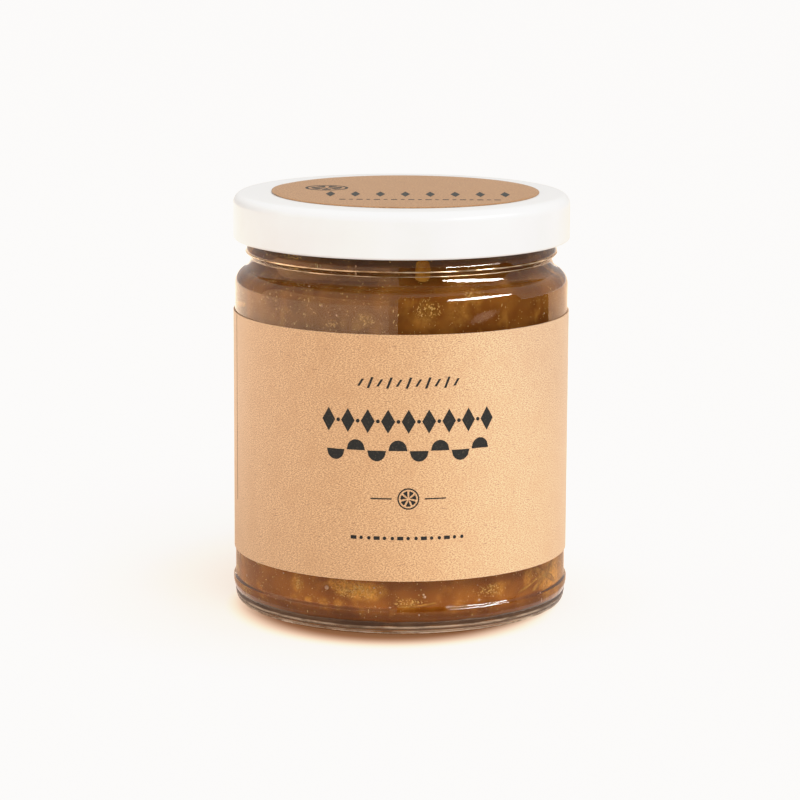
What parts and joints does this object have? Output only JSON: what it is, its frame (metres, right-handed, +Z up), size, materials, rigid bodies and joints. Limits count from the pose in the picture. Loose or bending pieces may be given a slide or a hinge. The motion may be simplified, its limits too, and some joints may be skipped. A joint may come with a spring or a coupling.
{
  "type": "marmalade jar",
  "caption": "Shut straight-sided glass jar filled with amber marmalade, with a white twist-off lid, a kraft paper wrap label and a round kraft sticker on the lid.",
  "frame": {"origin": "centre of the flat ring that the jar stands on", "axes": "+Z up along the jar's axis, -Y towards the middle of the label"},
  "size_m": [0.072, 0.072, 0.0884],
  "materials": {
    "glass": "clear, polished",
    "marmalade": "glossy, translucent amber jelly with peel",
    "lid": "gloss white",
    "kraft_paper": "uncoated brown kraft"
  },
  "bodies": {
    "root": {"glass_jar": "glass", "marmalade": "marmalade", "lid": "lid", "label": "kraft_paper", "lid_sticker": "kraft_paper"}
  },
  "joints": []
}
